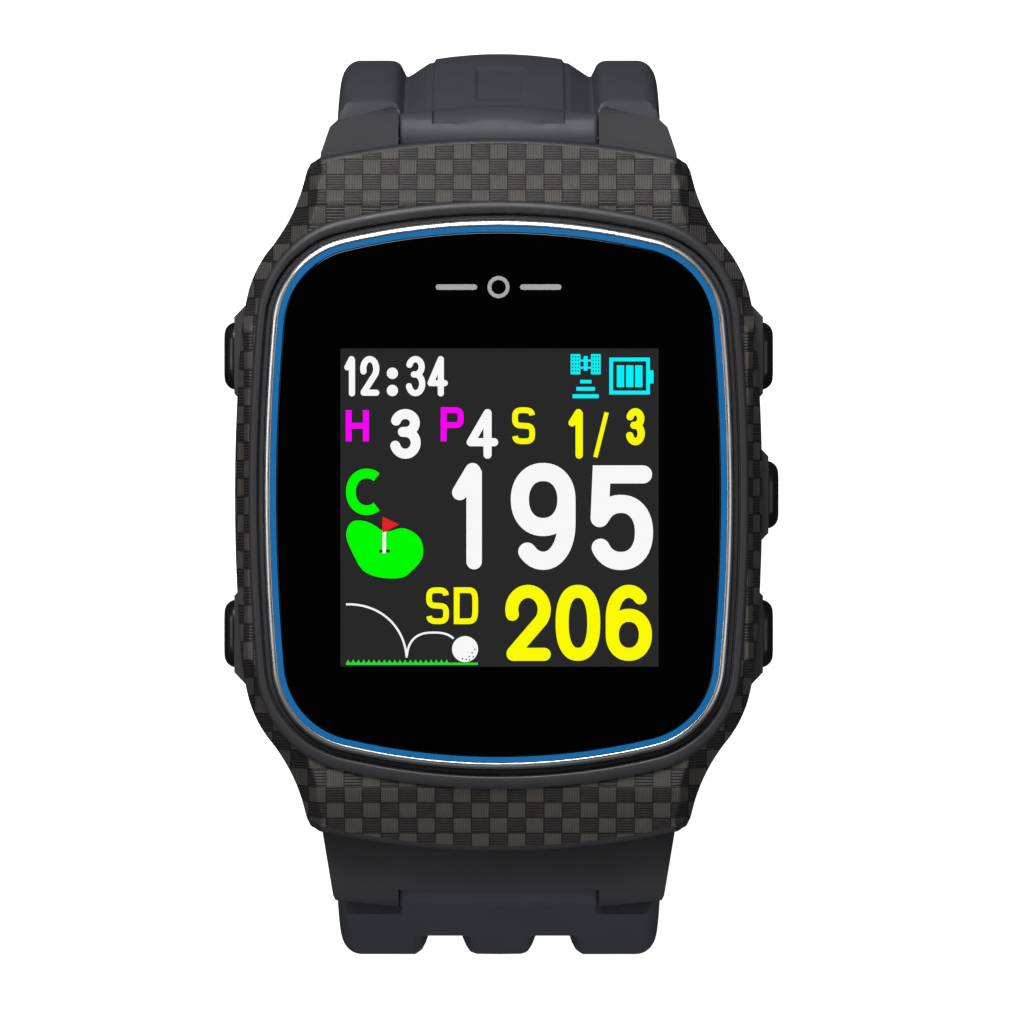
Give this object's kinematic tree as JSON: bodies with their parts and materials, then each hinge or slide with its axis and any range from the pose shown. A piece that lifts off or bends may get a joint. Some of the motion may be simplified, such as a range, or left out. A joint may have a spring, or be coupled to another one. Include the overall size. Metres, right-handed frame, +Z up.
{
  "type": "golf gps watch",
  "caption": "Wrist watch for golf with a barrel-shaped dial, a square colour display, a woven-pattern case shell, side push buttons and a ribbed rubber strap with a pin buckle.",
  "frame": {"origin": "on the table, under the middle of the dial, on the flat underside of the tail half of the strap", "axes": "+Z up out of the dial, +Y towards twelve o'clock, +X towards three o'clock"},
  "size_m": [0.0407, 0.0692, 0.0601],
  "materials": {
    "strap_rubber": "matte moulded",
    "case_plastic": "fine matte",
    "shell_plastic": "moulded basket weave",
    "bezel_plastic": "satin",
    "trim_metal": "bright",
    "accent_blue": "gloss",
    "lens_glass": "clear with a black border",
    "seal_rubber": "matte",
    "display": "lit",
    "light_plastic": "clear",
    "frame_plastic": "matte",
    "flex_film": "satin",
    "ceramic": "matte",
    "board": "solder mask",
    "can_metal": "brushed",
    "foam": "soft",
    "cell_foil": "foil",
    "part_metal": "satin",
    "switch_plastic": "matte",
    "cover_plastic": "fine matte",
    "screw_steel": "satin",
    "contact_gold": "polished",
    "bar_steel": "satin",
    "button_plastic": "satin",
    "buckle_steel": "black satin",
    "keeper_rubber": "matte moulded"
  },
  "bodies": {
    "case": {"mid_case": "case_plastic", "front_shell": "shell_plastic", "rear_cover": "cover_plastic", "rear_gasket": "seal_rubber", "rear_screws": "screw_steel", "shell_screws": "screw_steel", "bezel_ring": "bezel_plastic", "trim_ring": "trim_metal", "accent_ring": "accent_blue", "lens": "lens_glass", "lens_gasket": "seal_rubber", "display_panel": "display", "backlight_guide": "light_plastic", "inner_frame": "frame_plastic", "display_flex": "flex_film", "gps_antenna": "ceramic", "main_board": "board", "shield_can": "can_metal", "battery": "cell_foil", "battery_pad": "foam", "vibration_motor": "part_metal", "piezo_buzzer": "part_metal", "side_switches": "switch_plastic", "charging_contacts": "contact_gold", "upper_spring_bar": "bar_steel", "upper_bar_tips": "bar_steel", "lower_spring_bar": "bar_steel", "lower_bar_tips": "bar_steel"},
    "buckle_half": {"upper_strap": "strap_rubber", "buckle_bar": "bar_steel", "fixed_keeper": "keeper_rubber"},
    "tail_half": {"lower_strap": "strap_rubber"},
    "buckle": {"buckle_frame": "buckle_steel"},
    "prong": {"buckle_prong": "buckle_steel"},
    "keeper": {"sliding_keeper": "keeper_rubber"},
    "button_left_upper": {"button_cap_left_upper": "button_plastic", "button_seal_left_upper": "seal_rubber", "button_clip_left_upper": "bar_steel", "button_spring_left_upper": "bar_steel"},
    "button_left_lower": {"button_cap_left_lower": "button_plastic", "button_seal_left_lower": "seal_rubber", "button_clip_left_lower": "bar_steel", "button_spring_left_lower": "bar_steel"},
    "button_right_upper": {"button_cap_right_upper": "button_plastic", "button_seal_right_upper": "seal_rubber", "button_clip_right_upper": "bar_steel", "button_spring_right_upper": "bar_steel"},
    "button_right_middle": {"button_cap_right_middle": "button_plastic", "button_seal_right_middle": "seal_rubber", "button_clip_right_middle": "bar_steel", "button_spring_right_middle": "bar_steel"},
    "button_right_lower": {"button_cap_right_lower": "button_plastic", "button_seal_right_lower": "seal_rubber", "button_clip_right_lower": "bar_steel", "button_spring_right_lower": "bar_steel"}
  },
  "joints": [
    {"name": "upper_strap_swing", "type": "hinge", "parent": "case", "child": "buckle_half", "pos_m": [0, 0.0262, 0.0497], "axis": [1, 0, 0], "range_deg": [-20, 12]},
    {"name": "lower_strap_swing", "type": "hinge", "parent": "case", "child": "tail_half", "pos_m": [0, -0.028, 0.0497], "axis": [-1, 0, 0], "range_deg": [0, 55]},
    {"name": "buckle_swing", "type": "hinge", "parent": "buckle_half", "child": "buckle", "pos_m": [0, -0.00484, 0.01875], "axis": [1, 0, 0], "range_deg": [-45, 45]},
    {"name": "prong_swing", "type": "hinge", "parent": "buckle", "child": "prong", "pos_m": [0, -0.00484, 0.01875], "axis": [1, 0, 0], "range_deg": [0, 65]},
    {"name": "keeper_slide", "type": "slide", "parent": "buckle_half", "child": "keeper", "axis": [0, 0.9659, -0.2588], "range_m": [-0.0012, 0.003]},
    {"name": "press_left_upper", "type": "slide", "parent": "case", "child": "button_left_upper", "axis": [1, 0, 0], "range_m": [0, 0.0005], "stiffness_N_per_m": 1500, "springref_m": -0.001, "deforming": ["button_spring_left_upper"]},
    {"name": "press_left_lower", "type": "slide", "parent": "case", "child": "button_left_lower", "axis": [1, 0, 0], "range_m": [0, 0.0005], "stiffness_N_per_m": 1500, "springref_m": -0.001, "deforming": ["button_spring_left_lower"]},
    {"name": "press_right_upper", "type": "slide", "parent": "case", "child": "button_right_upper", "axis": [-1, 0, 0], "range_m": [0, 0.0005], "stiffness_N_per_m": 1500, "springref_m": -0.001, "deforming": ["button_spring_right_upper"]},
    {"name": "press_right_middle", "type": "slide", "parent": "case", "child": "button_right_middle", "axis": [-1, 0, 0], "range_m": [0, 0.0005], "stiffness_N_per_m": 1500, "springref_m": -0.001, "deforming": ["button_spring_right_middle"]},
    {"name": "press_right_lower", "type": "slide", "parent": "case", "child": "button_right_lower", "axis": [-1, 0, 0], "range_m": [0, 0.0005], "stiffness_N_per_m": 1500, "springref_m": -0.001, "deforming": ["button_spring_right_lower"]}
  ]
}
